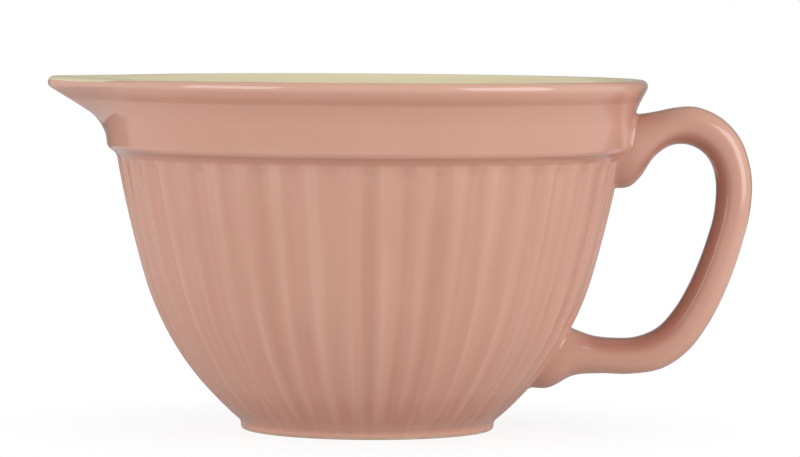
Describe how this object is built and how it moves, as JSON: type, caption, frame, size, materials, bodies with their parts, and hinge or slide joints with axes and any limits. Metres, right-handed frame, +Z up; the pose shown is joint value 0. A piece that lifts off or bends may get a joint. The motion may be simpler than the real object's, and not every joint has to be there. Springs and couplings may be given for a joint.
{
  "type": "batter bowl",
  "caption": "Fluted stoneware batter bowl with a plain collar, a pouring spout drawn from the rim and a loop handle opposite it.",
  "frame": {"origin": "on the bowl's axis, at the level of the surface that the foot stands on", "axes": "+Z up along the bowl's axis, +X towards the handle, so the spout points along -X; +Y is across"},
  "size_m": [0.2812, 0.2218, 0.141],
  "materials": {
    "rose_glaze": "glossy dusty rose glaze, bare buff clay on the foot ring",
    "cream_glaze": "glossy cream glaze",
    "handle_glaze": "glossy dusty rose glaze",
    "slip": "glossy dusty rose glaze over smoothed slip"
  },
  "bodies": {
    "root": {"bowl_body": "rose_glaze", "inner_glaze": "cream_glaze", "handle": "handle_glaze", "upper_slip_joint": "slip", "lower_slip_joint": "slip"}
  },
  "joints": []
}
